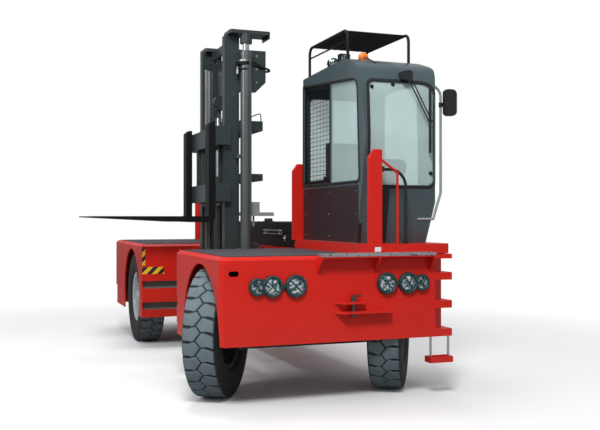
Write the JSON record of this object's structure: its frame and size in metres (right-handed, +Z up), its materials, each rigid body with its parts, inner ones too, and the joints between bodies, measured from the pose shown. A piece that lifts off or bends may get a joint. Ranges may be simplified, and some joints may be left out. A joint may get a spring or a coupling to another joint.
{
  "type": "side loader forklift",
  "caption": "Side loader forklift truck: load deck, cab at one corner, mast that travels across a side well, and forks facing sideways.",
  "frame": {"origin": "on the ground, under the middle of the vehicle's bounding box", "axes": "+X towards the cab side, +Y towards the rear end, +Z up; the forks point along -X"},
  "size_m": [2.986, 5.832, 3.542],
  "materials": {
    "red_paint": "gloss, road-worn",
    "cab_paint": "satin",
    "dark_paint": "satin",
    "black_paint": "satin",
    "mast_paint": "satin, greased faces",
    "lip_paint": "satin",
    "silver_paint": "satin",
    "axle_iron": "rough painted casting",
    "chequer_plate": "chequered, scuffed",
    "anti_slip": "coarse grit sheet",
    "rod_chrome": "hard chrome",
    "fork_steel": "forged, worn bright on top",
    "chain_steel": "oiled",
    "tyre_rubber": "dusty treaded rubber",
    "pane": "tinted",
    "lamp_glass": "ribbed",
    "lamp_body": "matt",
    "beacon_orange": "translucent",
    "seat_cover": "woven",
    "trim_plastic": "grained",
    "rail_grey": "satin"
  },
  "bodies": {
    "chassis": {"front_frame": "red_paint", "rear_frame": "red_paint", "side_frame": "red_paint", "guide_channels": "lip_paint", "deck_skins": "anti_slip", "front_ledge": "chequer_plate", "lamp_housings": "lamp_body", "lamp_lenses": "lamp_glass", "tow_coupling": "red_paint", "tow_pin": "chain_steel", "hanging_step": "red_paint", "cab_sill": "red_paint", "stake_posts": "red_paint", "cab_hose": "trim_plastic", "front_axle": "axle_iron", "rear_axle": "axle_iron", "cab_frame": "cab_paint", "cab_roof": "cab_paint", "cab_side_panel": "dark_paint", "cab_glass": "pane", "window_grille": "black_paint", "roof_guard": "black_paint", "beacon": "beacon_orange", "work_lamps": "black_paint", "grab_rail": "rail_grey", "mirror": "trim_plastic", "wiper": "trim_plastic", "driver_seat": "seat_cover", "steering_column": "trim_plastic", "engine": "axle_iron", "tank_cover": "black_paint"},
    "knuckle_right": {"knuckle_right": "axle_iron"},
    "knuckle_left": {"knuckle_left": "axle_iron"},
    "tie_rod": {"tie_rod": "chain_steel"},
    "wheel_front_right": {"tyre_front_right": "tyre_rubber", "rim_front_right": "dark_paint"},
    "wheel_front_left": {"tyre_front_left": "tyre_rubber", "rim_front_left": "dark_paint"},
    "wheel_rear_right": {"tyre_rear_right": "tyre_rubber", "rim_rear_right": "silver_paint"},
    "wheel_rear_left": {"tyre_rear_left": "tyre_rubber", "rim_rear_left": "silver_paint"},
    "mast": {"mast_base": "mast_paint", "outer_mast": "mast_paint", "mast_cross_members": "mast_paint", "valve_block": "mast_paint", "lift_cylinders": "mast_paint"},
    "inner_mast": {"inner_mast": "mast_paint", "lift_rods": "rod_chrome", "centre_ram_tube": "mast_paint", "mast_hoses": "trim_plastic"},
    "centre_ram": {"centre_ram": "rod_chrome"},
    "carriage": {"fork_carriage": "mast_paint", "lift_chains": "chain_steel"},
    "fork_frame": {"fork_frame": "mast_paint", "forks": "fork_steel"},
    "cab_door": {"cab_door": "cab_paint", "door_glass": "pane"},
    "engine_hood": {"engine_hood": "black_paint"}
  },
  "joints": [
    {"name": "steer_right", "type": "hinge", "parent": "chassis", "child": "knuckle_right", "pos_m": [-0.436, -2.159, 0.565], "axis": [0, 0, 1], "range_deg": [-8, 72]},
    {"name": "steer_left", "type": "hinge", "parent": "chassis", "child": "knuckle_left", "pos_m": [0.92, -2.159, 0.565], "axis": [0, 0, 1], "range_deg": [-8, 72]},
    {"name": "tie_rod_link", "type": "hinge", "parent": "knuckle_right", "child": "tie_rod", "pos_m": [-0.32472, -1.98091, 0.42], "axis": [0, 0, 1], "range_deg": [-72, 8]},
    {"name": "roll_front_right", "type": "hinge", "parent": "knuckle_right", "child": "wheel_front_right", "pos_m": [-0.55897, -2.08216, 0.565], "axis": [0.848, -0.5299, 0], "continuous": true},
    {"name": "roll_front_left", "type": "hinge", "parent": "knuckle_left", "child": "wheel_front_left", "pos_m": [1.04297, -2.23584, 0.565], "axis": [0.848, -0.5299, 0], "continuous": true},
    {"name": "roll_rear_right", "type": "hinge", "parent": "chassis", "child": "wheel_rear_right", "pos_m": [-0.538, 1.581, 0.565], "axis": [1, 0, 0], "continuous": true},
    {"name": "roll_rear_left", "type": "hinge", "parent": "chassis", "child": "wheel_rear_left", "pos_m": [1.022, 1.581, 0.565], "axis": [1, 0, 0], "continuous": true},
    {"name": "mast_reach", "type": "slide", "parent": "chassis", "child": "mast", "axis": [-1, 0, 0], "range_m": [0, 0.8]},
    {"name": "mast_lift", "type": "slide", "parent": "mast", "child": "inner_mast", "axis": [0, 0, 1], "range_m": [0, 1.6]},
    {"name": "ram_lift", "type": "slide", "parent": "inner_mast", "child": "centre_ram", "axis": [0, 0, 1], "range_m": [-0.6875, 0.4]},
    {"name": "carriage_lift", "type": "slide", "parent": "inner_mast", "child": "carriage", "axis": [0, 0, 1], "range_m": [-1.375, 0.8]},
    {"name": "fork_tilt", "type": "hinge", "parent": "carriage", "child": "fork_frame", "pos_m": [-0.153, -0.159, 1.837], "axis": [0, 1, 0], "range_deg": [-4, 4]},
    {"name": "door_swing", "type": "hinge", "parent": "chassis", "child": "cab_door", "pos_m": [1.384, -1.395, 1.59], "axis": [0, 0, 1], "range_deg": [0, 80]},
    {"name": "hood_lift", "type": "hinge", "parent": "chassis", "child": "engine_hood", "pos_m": [1.223, -0.819, 1.266], "axis": [0, 1, 0], "range_deg": [0, 70]}
  ],
  "couplings": [
    {"joint": "steer_left", "follows": "steer_right", "ratio": 1},
    {"joint": "tie_rod_link", "follows": "steer_right", "ratio": -1},
    {"joint": "ram_lift", "follows": "carriage_lift", "ratio": 0.5}
  ]
}
